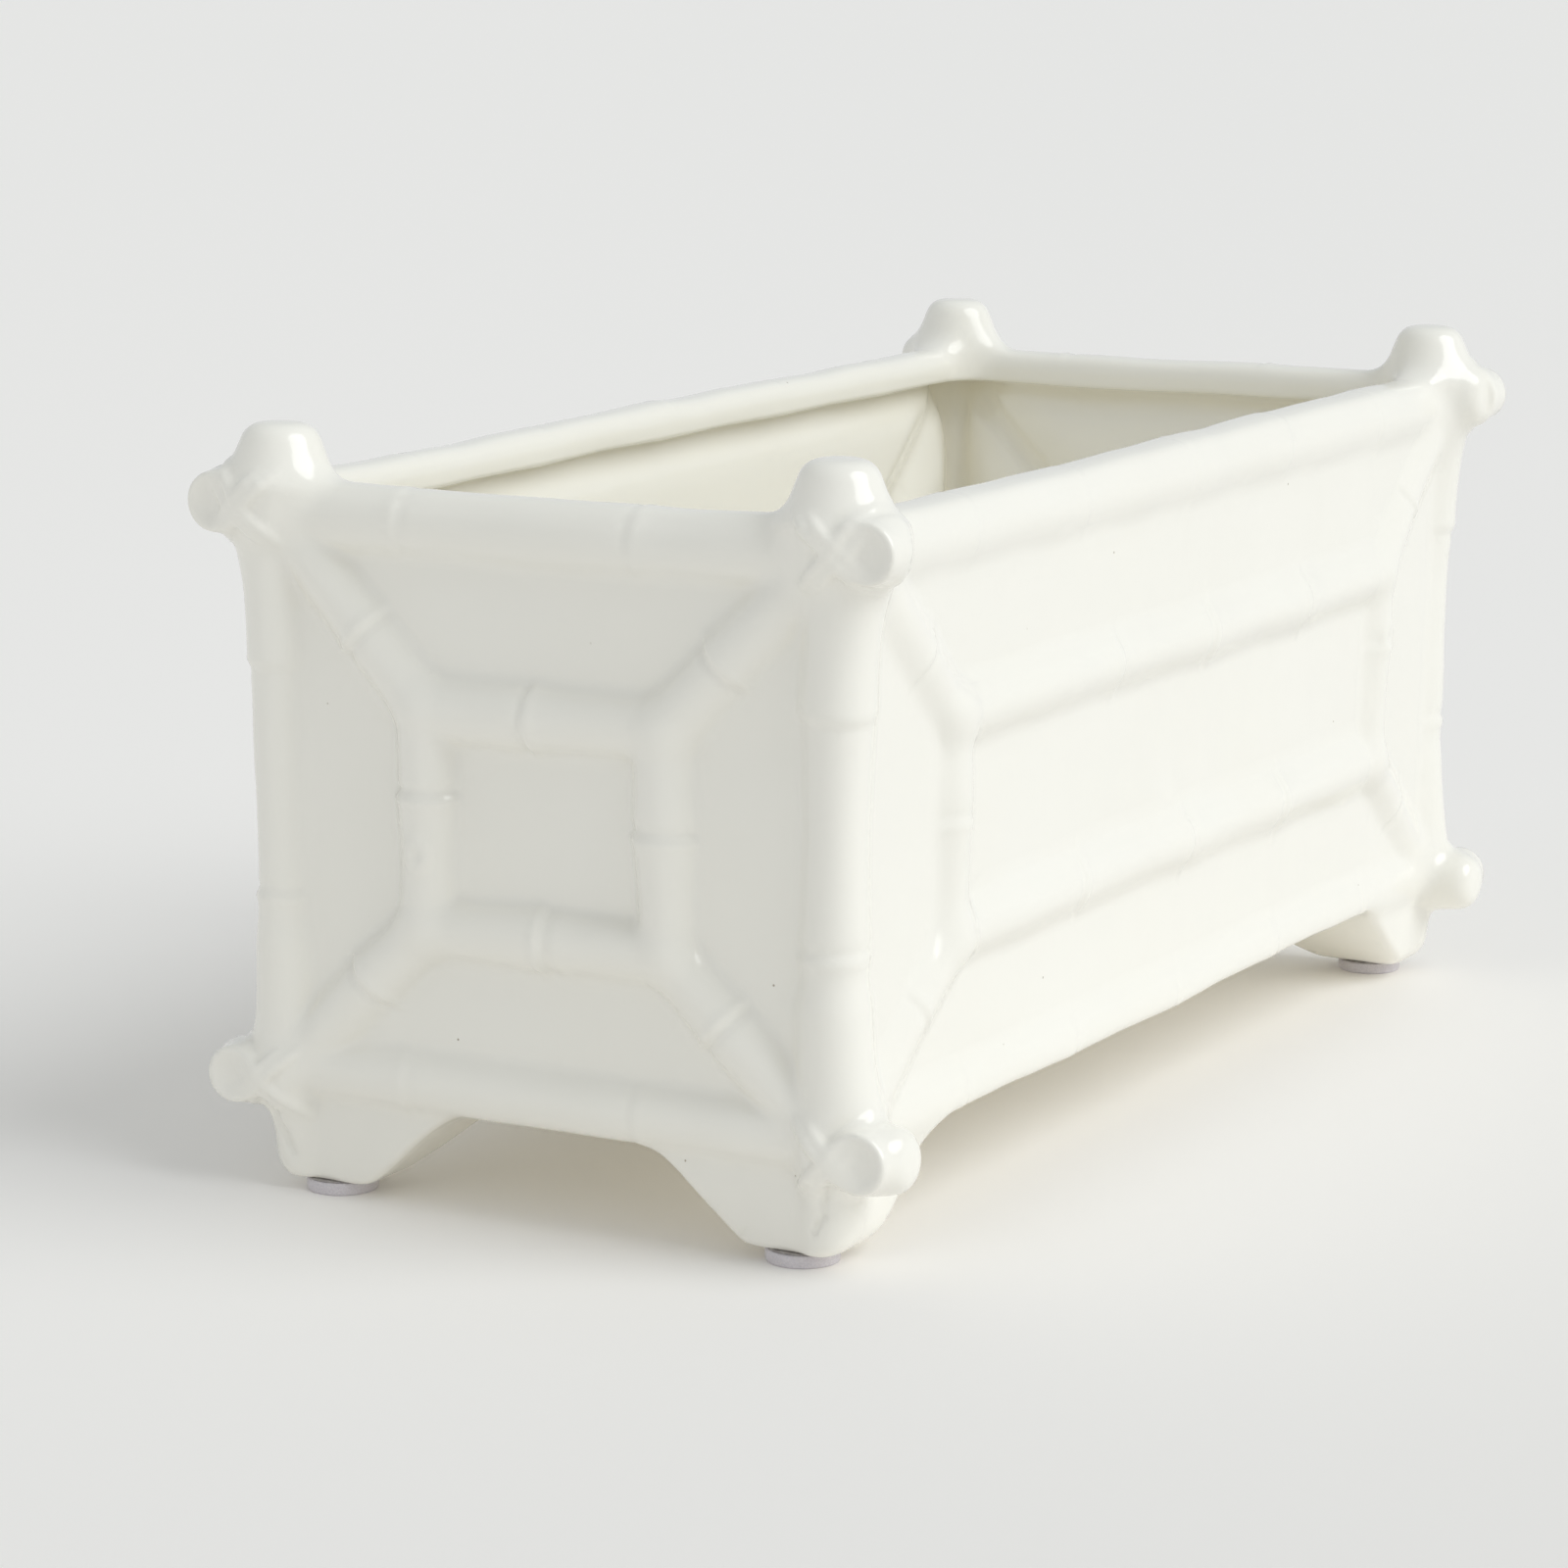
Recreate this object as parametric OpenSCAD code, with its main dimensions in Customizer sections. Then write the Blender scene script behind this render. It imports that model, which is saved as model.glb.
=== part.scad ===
// Rectangular slip-cast planter with faux-bamboo relief, on four bracket feet
// that stand on self-adhesive felt pads. Millimetres, +Z up, origin on the
// standing surface under the middle. X runs along the length, Y along the depth.

/* [Overall] */
// Length over the feet of the corner knobs
length = 306; // [290:1:330]
// Depth over the cane ends on the long faces
depth = 153; // [140:1:175]
// Height over the corner knobs, felt pads included
height = 150; // [140:1:165]
// How far each face leans in from the knobs to the floor
draft = 2; // [0.5:0.1:3]

/* [Casting] */
// Wall thickness of the flat panels
wall = 5.5; // [4:0.5:6.5]
// Thickness of the inside floor
floor_t = 6; // [4:0.5:8]
// How far the rolled rim overhangs the inside of the wall
lip = 3; // [1.5:0.5:4]
// Height of the rolled rim's inner face
lip_h = 6.5; // [4:0.5:9]
// Inside corner radius at the rim
mouth_r = 9; // [7:0.5:12]

/* [Canes] */
// Radius of the corner posts
post_r = 6.5; // [6.5:0.1:7.5]
// Radius of the top and bottom rails
rail_r = 6.4; // [5.8:0.1:6.8]
// Radius of the lattice poles
pole_r = 6; // [5:0.1:6.4]
// How far the post axes lie inside the flat panels' outer faces
panel_out = 4; // [2.5:0.1:4.5]

/* [Feet] */
// Height of the arch under each long face
arch_long = 21.3; // [18:0.1:23]
// Height of the arch under each short face
arch_short = 18.9; // [16:0.1:20]

/* [Felt pads] */
// Diameter of a felt pad
pad_d = 14; // [12:0.5:16]
// Thickness of a felt pad
pad_t = 2.4; // [2:0.1:3.5]
// Thickness of the adhesive disc that holds a pad
glue_t = 0.3; // [0.2:0.1:0.5]

/* [Hidden] */
$fn = 48;

// Reach from the post axes to the foot of a knob and to the cane ends
knob_reach = 10;
peg_reach = 9.5;
stub_reach = 16;
post_x = length / 2 - knob_reach;
post_y = depth / 2 - stub_reach;

// Heights of the joints, rails, lattice and rim
rim_z = height - 11.6;
joint_top = height - 16;
joint_low = 22.4;
rail_top = height - 17.7;
rail_low = 24.6;
lattice_top = 98.6;
lattice_low = 56;
foot_z = pad_t + glue_t;
floor_z = arch_long + floor_t;

// Half widths of the inner lattice rectangles, and where the cane axes lie
// outward from the planes of the post axes; diagonals stop short of the posts
lattice_short = 26;
lattice_long = post_x - 39.5;
lattice_out = 1.6;
rail_out = 0.3;
diagonal_short = 3;

// Knob on each corner post
knob_top_r = 6.5;
knob_round = 2.2;
knob_root = 6;
knob_root_r = 8.6;

// Round cane ends: a tapered stub along Y and a dished peg along X
stub_base_r = 7.8;
stub_end_r = 6.4;
stub_round = 2.4;
stub_out = 0.8;
peg_r = 6.2;
peg_out = 9.9;
dish_r = 15;
dish_deep = 1.1;

// Flare of a post into a joint, and taper of the post into its foot
flare_r = 2.2;
flare_h = 18;
flare_out = 3;
toe_r = 2.5;
toe_h = 14;

// Strap lashing round each joint
strap_r = 1.5;
strap_loop = peg_reach - strap_r - 0.1;
strap_out = 3.4;

// Raised growth ring on a cane
ring_out = 0.8;
ring_w = 1.6;

// Spread of the flat part and of the feet of each arch
arch_flat_long = post_x - 40;
arch_foot_long = post_x - 4.3;
arch_flat_short = post_y - 42.5;
arch_foot_short = post_y - 8.5;
arch_steps = 12;

// Centre of a foot's underside, inward from the post axis
pad_in_x = 2.6;
pad_in_y = 7.4;

CERAMIC = [0.95, 0.94, 0.91];
FELT = [0.79, 0.77, 0.82];
ADHESIVE = [0.45, 0.44, 0.48];

function lean(z) = draft * (height - z) / height;
function on_short(side, y, z, out) = [side * (post_x - lean(z) + out), y, z];
function on_long(side, x, z, out) = [x, side * (post_y - lean(z) + out), z];
function post_at(sx, sy, z) = [sx * (post_x - lean(z)), sy * (post_y - lean(z)), z];
function ease(t) = t * t * (3 - 2 * t);

// Round bar from one point to another
module bar(p, q, r) {
    d = q - p;
    translate(p)
        rotate([0, acos(d[2] / norm(d)), atan2(d[1], d[0])])
            cylinder(h = norm(d), r = r);
}

// Bamboo cane between two points with growth rings at fractions of its length
module cane(p, q, r, rings = []) {
    bar(p, q, r);
    d = (q - p) / norm(q - p);
    for (f = rings)
        bar(p + f * (q - p) - d * ring_w / 2, p + f * (q - p) + d * ring_w / 2, r + ring_out);
}

module each_corner() {
    for (sx = [-1, 1], sy = [-1, 1])
        mirror([sx < 0 ? 1 : 0, 0, 0]) mirror([0, sy < 0 ? 1 : 0, 0]) children();
}

// Upright block with round corners that follows the lean of the faces
module leaning_block(out, r, z0, z1) {
    hull()
        for (z = [z0, z1])
            translate([0, 0, z - (z == z1 ? 0.01 : 0)])
                linear_extrude(0.01)
                    offset(r = r, $fn = 32)
                        square([2 * (post_x - lean(z) + out - r), 2 * (post_y - lean(z) + out - r)], center = true);
}

module knob() {
    top = height - rim_z + knob_root;
    translate([post_x, post_y, rim_z - knob_root])
        rotate_extrude()
            polygon(concat(
                [[0, 0], [knob_root_r, 0], [knob_reach, knob_root]],
                [for (a = [0:15:90])
                    [knob_top_r - knob_round * (1 - cos(a)), top - knob_round * (1 - sin(a))]],
                [[0, top]]
            ));
}

module post() {
    cane(post_at(1, 1, foot_z + toe_h - 1), post_at(1, 1, rim_z - 1), post_r, [0.35, 0.73]);
    translate(post_at(1, 1, foot_z)) cylinder(h = toe_h, r1 = post_r - toe_r, r2 = post_r - 0.2);
    translate(post_at(1, 1, joint_top - flare_h - 6) + [0, flare_out, 0])
        cylinder(h = flare_h, r1 = post_r - flare_out, r2 = post_r + flare_r);
    translate(post_at(1, 1, joint_low + 6) + [0, flare_out, 0])
        cylinder(h = flare_h, r1 = post_r + flare_r, r2 = post_r - flare_out);
}

// Tapered cane end that stands out of a long face
module stub(z) {
    translate([post_x - lean(z) + stub_out, post_y - lean(z), z])
        rotate([-90, 0, 0])
            rotate_extrude()
                polygon([
                    [0, 0], [stub_base_r, 0], [stub_end_r, stub_reach - stub_round],
                    [stub_end_r - stub_round, stub_reach], [0, stub_reach]
                ]);
}

// Dished cane end that faces out of a short face
module peg(z) {
    translate([post_x - lean(z), post_y - lean(z) + peg_out, z + 0.6])
        rotate([0, 90, 0])
            difference() {
                cylinder(h = peg_reach, r = peg_r);
                translate([0, 0, peg_reach + dish_r - dish_deep]) sphere(r = dish_r);
            }
}

// Two strap loops that cross on the outside of a joint
module lashing(z) {
    for (tilt = [-42, 42])
        translate([post_x - lean(z), post_y - lean(z) + strap_out, z])
            rotate([tilt, 0, 0])
                rotate_extrude() translate([strap_loop, 0]) circle(r = strap_r, $fn = 24);
}

module corner() {
    post();
    knob();
    for (z = [joint_top, joint_low]) {
        stub(z);
        peg(z);
        lashing(z);
    }
}

module short_face(side) {
    for (z = [rail_top, rail_low])
        cane(
            on_short(side, -post_y, z, rail_out), on_short(side, post_y, z, rail_out),
            rail_r, [0.33, 0.74]
        );
    for (s = [-1, 1]) {
        cane(
            on_short(side, s * lattice_short, lattice_low, lattice_out),
            on_short(side, s * lattice_short, lattice_top, lattice_out), pole_r, [0.55]
        );
        for (j = [[lattice_top, rail_top], [lattice_low, rail_low]])
            cane(
                on_short(side, s * lattice_short, j[0], lattice_out),
                on_short(side, s * (post_y - diagonal_short), j[1], 0), pole_r, [0.4]
            );
    }
    for (z = [lattice_top, lattice_low]) {
        cane(
            on_short(side, -lattice_short, z, lattice_out),
            on_short(side, lattice_short, z, lattice_out), pole_r, [0.52]
        );
        for (s = [-1, 1])
            translate(on_short(side, s * lattice_short, z, lattice_out)) sphere(r = pole_r + ring_out / 2);
    }
}

module long_face(side) {
    for (z = [rail_top, rail_low])
        cane(
            on_long(side, -post_x, z, rail_out), on_long(side, post_x, z, rail_out),
            rail_r, [0.15, 0.32, 0.5, 0.67, 0.85]
        );
    for (s = [-1, 1]) {
        cane(
            on_long(side, s * lattice_long, lattice_low, lattice_out),
            on_long(side, s * lattice_long, lattice_top, lattice_out), pole_r, [0.55]
        );
        for (j = [[lattice_top, rail_top], [lattice_low, rail_low]])
            cane(
                on_long(side, s * lattice_long, j[0], lattice_out),
                on_long(side, s * (post_x - diagonal_short), j[1], 0), pole_r, [0.4]
            );
    }
    for (z = [lattice_top, lattice_low]) {
        cane(
            on_long(side, -lattice_long, z, lattice_out),
            on_long(side, lattice_long, z, lattice_out), pole_r, [0.32, 0.55, 0.78]
        );
        for (s = [-1, 1])
            translate(on_long(side, s * lattice_long, z, lattice_out)) sphere(r = pole_r + ring_out / 2);
    }
}

// Outline of the gap between two bracket feet, from below the floor up
module arch(top, flat, foot) {
    side = [for (i = [0:arch_steps]) [flat + (foot - flat) * i / arch_steps, top * (1 - ease(i / arch_steps))]];
    polygon(concat(
        [for (p = side) p], [[foot, -5], [-foot, -5]],
        [for (i = [arch_steps:-1:0]) [-side[i][0], side[i][1]]]
    ));
}

module arches() {
    rotate([90, 0, 0])
        linear_extrude(2 * depth, center = true) arch(arch_long, arch_flat_long, arch_foot_long);
    rotate([90, 0, 90])
        linear_extrude(2 * length, center = true) arch(arch_short, arch_flat_short, arch_foot_short);
}

module cavity() {
    leaning_block(panel_out - wall, 6, floor_z, rim_z - lip_h);
    leaning_block(panel_out - wall - lip, mouth_r, floor_z + 20, height + 1);
}

module planter_body() {
    color(CERAMIC)
        difference() {
            union() {
                leaning_block(panel_out, 6, foot_z, rim_z);
                each_corner() corner();
                for (side = [-1, 1]) {
                    short_face(side);
                    long_face(side);
                }
            }
            arches();
            cavity();
        }
}

// Middle of a foot's underside
function foot_at(sx, sy) = [sx * (post_x - lean(0) - pad_in_x), sy * (post_y - lean(0) - pad_in_y), 0];

module felt_pad(sx, sy) {
    color(FELT) translate(foot_at(sx, sy)) cylinder(h = pad_t, d = pad_d);
}

module adhesive_disc(sx, sy) {
    color(ADHESIVE) translate(foot_at(sx, sy) + [0, 0, pad_t]) cylinder(h = glue_t, d = pad_d - 0.8);
}

planter_body();
felt_pad(-1, -1);  // felt_pad_front_left
felt_pad(1, -1);  // felt_pad_front_right
felt_pad(-1, 1);  // felt_pad_back_left
felt_pad(1, 1);  // felt_pad_back_right
adhesive_disc(-1, -1);  // adhesive_disc_front_left
adhesive_disc(1, -1);  // adhesive_disc_front_right
adhesive_disc(-1, 1);  // adhesive_disc_back_left
adhesive_disc(1, 1);  // adhesive_disc_back_right
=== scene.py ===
"""Looks of a slip-cast faux-bamboo planter on felt pads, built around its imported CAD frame.

The casting is sculpted as a signed distance field on a voxel grid: canes, joints, knobs and feet
melt into the walls the way a thick glaze rounds them off. The field becomes one mesh, and slow
smooth waves then take away its machine-made straightness. Lengths in the sculpting are in mm.
"""

import math

import bpy
import numpy as np
import openvdb
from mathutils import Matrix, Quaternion, Vector


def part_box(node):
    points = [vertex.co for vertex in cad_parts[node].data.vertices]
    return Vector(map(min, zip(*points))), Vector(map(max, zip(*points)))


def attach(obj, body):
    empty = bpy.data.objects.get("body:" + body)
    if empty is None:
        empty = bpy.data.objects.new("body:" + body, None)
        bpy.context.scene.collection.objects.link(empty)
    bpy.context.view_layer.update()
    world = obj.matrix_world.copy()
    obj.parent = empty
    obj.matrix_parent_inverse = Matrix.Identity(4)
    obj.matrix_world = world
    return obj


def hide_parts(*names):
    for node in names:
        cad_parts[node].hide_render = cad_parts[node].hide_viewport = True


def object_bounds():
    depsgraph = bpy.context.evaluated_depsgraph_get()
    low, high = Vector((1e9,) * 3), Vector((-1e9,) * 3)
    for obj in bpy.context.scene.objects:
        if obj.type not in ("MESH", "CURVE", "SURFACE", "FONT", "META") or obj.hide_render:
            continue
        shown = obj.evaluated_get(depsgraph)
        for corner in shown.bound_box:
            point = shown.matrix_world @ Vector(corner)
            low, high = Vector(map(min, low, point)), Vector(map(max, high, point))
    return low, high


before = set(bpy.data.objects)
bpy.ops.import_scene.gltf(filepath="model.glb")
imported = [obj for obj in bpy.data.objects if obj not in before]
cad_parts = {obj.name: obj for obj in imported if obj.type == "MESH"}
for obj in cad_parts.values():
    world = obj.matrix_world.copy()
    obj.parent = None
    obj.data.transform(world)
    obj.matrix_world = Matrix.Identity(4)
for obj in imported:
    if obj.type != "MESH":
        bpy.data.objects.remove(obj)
cad_low, cad_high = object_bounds()

MM = 0.001
SEED = 7
VOXEL = 0.62
FACE_LIMIT = 190000
FAR_OUT = 50.0  # mm; the field before any clay is in it

# ---------------------------------------------------------------- sizes, mm
# The post axes stand inside the CAD box by the reach of the knobs and cane ends past them.
body_low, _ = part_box("planter_body")
HEIGHT = cad_high[2] / MM
FOOT_Z = body_low[2] / MM
KNOB_REACH = 10.0
PEG_REACH = 9.5
STUB_REACH = 16.0
POST_X = cad_high[0] / MM - KNOB_REACH
POST_Y = cad_high[1] / MM - STUB_REACH
DRAFT = 2.0

# Heights of what runs along a face, and half lengths of the lattice.
RIM_Z = HEIGHT - 11.6
JOINTS_Z = (HEIGHT - 16.0, 22.4)
RAIL_TOP_Z = HEIGHT - 17.7
RAIL_LOW_Z = 24.6
LATTICE_TOP_Z = 98.6
LATTICE_LOW_Z = 56.0
LATTICE_SHORT = 26.0
LATTICE_LONG = POST_X - 39.5
SCAR_SHORT_Z, SCAR_LONG_Z = 71.0, 84.0

# Radius of the canes, and how far their axes and the flat panels stand outside the plane of the
# post axes. A diagonal ends at its own distance, beside the post.
POST_R, RAIL_R, POLE_R = 5.8, 6.4, 6.2
POST_SHIFT = 0.5
RAIL_OUT, POLE_OUT, DIAGONAL_END_OUT = 0.3, 1.7, 0.4
PANEL_OUT_SHORT, PANEL_OUT_LONG = 3.3, 4.8
PANEL_CORNER_R = 6.0
FILLET_SHORT, FILLET_LONG, FILLET_TURN = 2.0, 2.8, 12

# Growth rings as fractions of the length of a cane; cane() says what their signs mean.
RINGS = {
    "short": {"rail": (0.33, -0.76), "high": (0.52,), "low": (-0.51,)},
    "long": {
        "rail": (0.15, 0.32, -0.5, 0.67, -0.85),
        "high": (0.32, -0.55, 0.78),
        "low": (-0.26, 0.5, -0.74),
    },
}
UPRIGHT_RING, UPRIGHT_RING_STEP = 0.56, 0.04
HIGH_DIAGONAL_RING, LOW_DIAGONAL_RING = -0.42, 0.37
POST_RINGS = (0.36, -0.77)
RAIL_CRISP, LONG_CRISP, POST_CRISP = 0.45, 0.6, 0.7
SWELL, SWELL_WIDTH = 0.35, 5.5
RIDGE, GROOVE, RIDGE_WIDTH, GROOVE_AT = 0.5, 0.55, 0.9, 1.9
RELIEF_ROOM = 1.5

# The inside: how far its walls stand inside the plane of the post axes, the least thickness of the
# clay, and the lip that narrows the mouth.
INSET, THINNEST = 1.5, 2.6
ROOM_CORNER_R = 7.0
LIP, LIP_H, MOUTH_R = 3.0, 6.5, 9.0
FLOOR_Z = 27.3

# Arches: height, half length of the flat top, and where their curve meets the ground.
ARCH_LONG_Z, ARCH_SHORT_Z = 21.3, 18.9
ARCH_LONG_FLAT, ARCH_LONG_FOOT = POST_X - 40.0, POST_X - 4.3
ARCH_SHORT_FLAT, ARCH_SHORT_FOOT = POST_Y - 42.5, POST_Y - 11.0

# Feet: they draw in below TUCK_Z, by the tuck, from faces this far outside the post axes.
TUCK_Z = 11
FOOT_OUT_X, FOOT_OUT_Y = 9, 7
TUCK_X, TUCK_Y = 3, 5.3

# Corner joints.
KNOB_TOP_R, KNOB_BASE_R, KNOB_DEPTH = 6.3, 10.94, 9
KNOB_TAPER, KNOB_TUCK, KNOB_DOME = 0.4, 0.45, 0.012
STUB_BASE_R, STUB_END_R, STUB_SHIFT = 7.2, 5.9, 0.8
STUB_TOP_REACH, STUB_LOW_REACH = STUB_REACH - 1.8, STUB_REACH + 1.3
PEG_R, PEG_OUT, PEG_RISE, PEG_DISH = 5.8, 10.1, 0.6, 1.1
STRAND_R, STRAND_GAP, STRAND_LIFT = 1.1, 1.45, 0.3
CROSS_OUT = 4.6
CORNERS = [(sx, sy) for sx in (-1, 1) for sy in (-1, 1)]


def lean(z):
    """How far a face stands inward of its top edge at height z."""
    return DRAFT * (HEIGHT - z) / HEIGHT


# ---------------------------------------------------------------- distance field
def soft_min(a, b, k):
    """The smaller of a and b, rounded where they are within k of each other."""
    h = np.maximum(k - np.abs(a - b), 0.0) / k
    return np.minimum(a, b) - h * h * (k * 0.25)


def soft_max(a, b, k):
    return -soft_min(-a, -b, k)


def bump(t, centre, width):
    return np.exp(-(((t - centre) / width) ** 2))


def wave_vector(rng, wavelength):
    """Random direction, as long as waves of about this wavelength need."""
    k = rng.normal(size=3)
    k *= 2 * math.pi / (wavelength * rng.uniform(0.75, 1.35) * np.linalg.norm(k))
    return k


class Clay:
    """Signed distance on a voxel grid: negative inside the clay."""

    MARGIN = 3.0  # how far past its box and its fillet a shape is still worked out

    def __init__(self, low, high, step):
        self.low, self.step = np.array(low, float), step
        counts = np.ceil((np.array(high) - self.low) / step).astype(int) + 1
        self.axes = []
        for i in range(3):
            self.axes.append((self.low[i] + step * np.arange(counts[i])).astype(np.float32))
        self.d = np.full(counts, FAR_OUT, np.float32)

    def like(self, d):
        """Another field on the same grid."""
        other = Clay.__new__(Clay)
        other.low, other.step, other.axes, other.d = self.low, self.step, self.axes, d
        return other

    def window(self, low, high):
        """Slices of the grid from low to high, and the coordinates there."""
        cut = []
        for i in range(3):
            a, b = np.searchsorted(self.axes[i], [low[i], high[i]])
            cut.append(slice(max(a - 1, 0), b + 1))
        x, y, z = (self.axes[i][cut[i]] for i in range(3))
        return tuple(cut), x[:, None, None], y[None, :, None], z[None, None, :]

    def everywhere(self):
        return self.window([a[0] for a in self.axes], [a[-1] for a in self.axes])

    def near(self, low, high, soft):
        pad = soft + self.MARGIN
        return self.window(np.minimum(low, high) - pad, np.maximum(low, high) + pad)

    def add(self, shape, low, high, soft):
        """Melts a shape, given by its distance function, onto the clay near its box. soft is the
        width of the fillet, or the function that gives it."""
        cut, x, y, z = self.near(low, high, FILLET_LONG if callable(soft) else soft)
        width = soft(x, y) if callable(soft) else soft
        self.d[cut] = soft_min(self.d[cut], shape(x, y, z).astype(np.float32), width)

    def carve(self, shape, low, high, soft):
        """Takes a shape away from the clay, with softened edges."""
        cut, x, y, z = self.near(low, high, soft)
        self.d[cut] = soft_max(self.d[cut], -shape(x, y, z).astype(np.float32), soft)

    def ripple(self, rng, wavelength, size, count=4):
        """Raises and lowers the whole skin in slow waves."""
        cut, x, y, z = self.everywhere()
        share = np.float32(size / math.sqrt(count))
        for _ in range(count):
            k = wave_vector(rng, wavelength)
            kx, ky, kz, phase = np.array([*k, rng.uniform(0, 6.3)], np.float32)
            self.d[cut] += share * np.sin(kx * x + ky * y + kz * z + phase)

    def sample(self, p):
        """Distance at points, read between the voxels."""
        g = (p - self.low) / self.step
        i = np.clip(np.floor(g).astype(int), 0, np.array(self.d.shape) - 2)
        f = g - i
        total = np.zeros(len(p))
        for corner in range(8):
            o = [(corner >> a) & 1 for a in range(3)]
            w = np.ones(len(p))
            for a in range(3):
                w *= f[:, a] if o[a] else 1 - f[:, a]
            total += w * self.d[i[:, 0] + o[0], i[:, 1] + o[1], i[:, 2] + o[2]]
        return total

    def slope(self, p, h):
        """Direction in which the distance grows fastest at points, seen over h on either side."""
        g = np.stack([self.sample(p + h * e) - self.sample(p - h * e) for e in np.eye(3)], 1)
        return g / np.maximum(np.linalg.norm(g, axis=1, keepdims=True), 1e-9)

    def first_hit(self, start, end, samples=161):
        """Where the straight way from start to end enters the clay; end if it never does."""
        f = np.linspace(0, 1, samples)[:, None]
        way = start + (end - start) * f
        inside = self.sample(way) < 0
        return way[np.argmax(inside)] if inside.any() else end


def segment(p, q):
    """Gives length along and distance from the segment p-q as functions of (x, y, z)."""
    p, q = np.array(p, float), np.array(q, float)
    span = np.linalg.norm(q - p)
    a = (q - p) / span

    def place(x, y, z):
        px, py, pz = x - p[0], y - p[1], z - p[2]
        t = px * a[0] + py * a[1] + pz * a[2]
        held = np.clip(t, 0, span)
        dx, dy, dz = px - a[0] * held, py - a[1] * held, pz - a[2] * held
        return t, np.sqrt(dx**2 + dy**2 + dz**2)

    return place, span


def cane(clay, p, q, r, rings=(), soft=1.5, wobble=None, crisp=1.0):
    """Bamboo cane from p to q. rings are fractions of its length; the sign of a ring says on
    which side of its ridge the groove lies, and crisp how strongly the rings stand out. wobble
    is what unevenness() gives."""
    place, span = segment(p, q)

    def shape(x, y, z):
        t, side = place(x, y, z)
        radius = r + 0 * t
        if wobble is not None:
            for wavelength, phase, size in wobble:
                radius = radius + size * np.sin(t * (2 * math.pi / wavelength) + phase)
        for ring in rings:
            at, way = abs(ring) * span, math.copysign(1, ring)
            relief = SWELL * bump(t, at, SWELL_WIDTH) + RIDGE * bump(t, at, RIDGE_WIDTH)
            relief = relief - GROOVE * bump(t, at + way * GROOVE_AT, RIDGE_WIDTH)
            radius = radius + crisp * relief
        return side - radius

    clay.add(shape, np.minimum(p, q) - r - RELIEF_ROOM, np.maximum(p, q) + r + RELIEF_ROOM, soft)


def fillet(x, y):
    """Width of the glaze fillet beside a cane: FILLET_SHORT on the short faces, FILLET_LONG on the
    long ones, changing over FILLET_TURN round the corners."""
    t = np.clip(0.5 + (POST_X - np.abs(x) - POST_Y + np.abs(y)) / FILLET_TURN, 0, 1)
    return FILLET_SHORT + (FILLET_LONG - FILLET_SHORT) * t * t * (3 - 2 * t)


def leaning_block(x, y, z, out_x, out_y, r):
    """Upright block with corner radius r and endless height. Its faces stand out_x and out_y
    outside the post axes, and lean with them."""
    qx = np.abs(x) - (POST_X - lean(z) + out_x - r)
    qy = np.abs(y) - (POST_Y - lean(z) + out_y - r)
    outside = np.sqrt(np.maximum(qx, 0) ** 2 + np.maximum(qy, 0) ** 2)
    return (outside + np.minimum(np.maximum(qx, qy), 0) - r).astype(np.float32)


def above_arch(u, z, top, flat, foot):
    """Negative above an arch that is level for |u| up to flat and meets the ground at foot."""
    t = np.clip((np.abs(u) - flat) / (foot - flat), 0, 1)
    height = top * (1 - t * t * (3 - 2 * t))
    steep = top * 6 * t * (1 - t) / (foot - flat)
    return ((height - z) / np.sqrt(1 + steep**2)).astype(np.float32)


# ---------------------------------------------------------------- the casting
def on_face(face, side, u, z, out):
    """Point on a face: u along it, z up, out from the plane of its posts."""
    if face == "short":
        return np.array([side * (POST_X - lean(z) + out), u, z])
    return np.array([u, side * (POST_Y - lean(z) + out), z])


def post_at(sx, sy, z, shift=0.0):
    """Point on the axis of a post, or shift outside it both ways."""
    return np.array([sx * (POST_X - lean(z) + shift), sy * (POST_Y - lean(z) + shift), z])


def unevenness(rng):
    """Slow and quick swelling along a cane, as (wavelength, phase, size)."""
    slow = (rng.uniform(30, 52), rng.uniform(0, 6.3), 0.18)
    quick = (rng.uniform(14, 23), rng.uniform(0, 6.3), 0.04)
    return [slow, quick]


def face_canes():
    """Every cane of the four faces, as (face, side, end, end, radius, out at the ends, rings)."""
    canes = []
    level_out = (POLE_OUT, POLE_OUT)
    for face, half, post in (("short", LATTICE_SHORT, POST_Y), ("long", LATTICE_LONG, POST_X)):
        rings = RINGS[face]
        for side in (-1, 1):
            for z in (RAIL_TOP_Z, RAIL_LOW_Z):
                ends = (-post, z), (post, z)
                canes.append((face, side, *ends, RAIL_R, (RAIL_OUT, RAIL_OUT), rings["rail"]))
            for z, level in ((LATTICE_TOP_Z, "high"), (LATTICE_LOW_Z, "low")):
                canes.append((face, side, (-half, z), (half, z), POLE_R, level_out, rings[level]))
            for s in (-1, 1):
                low, high = (s * half, LATTICE_LOW_Z), (s * half, LATTICE_TOP_Z)
                ring = UPRIGHT_RING + UPRIGHT_RING_STEP * s
                canes.append((face, side, low, high, POLE_R, level_out, (ring,)))
                for start, end_z, ring in (
                    (high, RAIL_TOP_Z - 1, HIGH_DIAGONAL_RING),
                    (low, RAIL_LOW_Z + 1, LOW_DIAGONAL_RING),
                ):
                    end = (s * (post - 3), end_z)
                    diagonal_out = (POLE_OUT, DIAGONAL_END_OUT)
                    canes.append((face, side, start, end, POLE_R, diagonal_out, (ring,)))
    return canes


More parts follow.
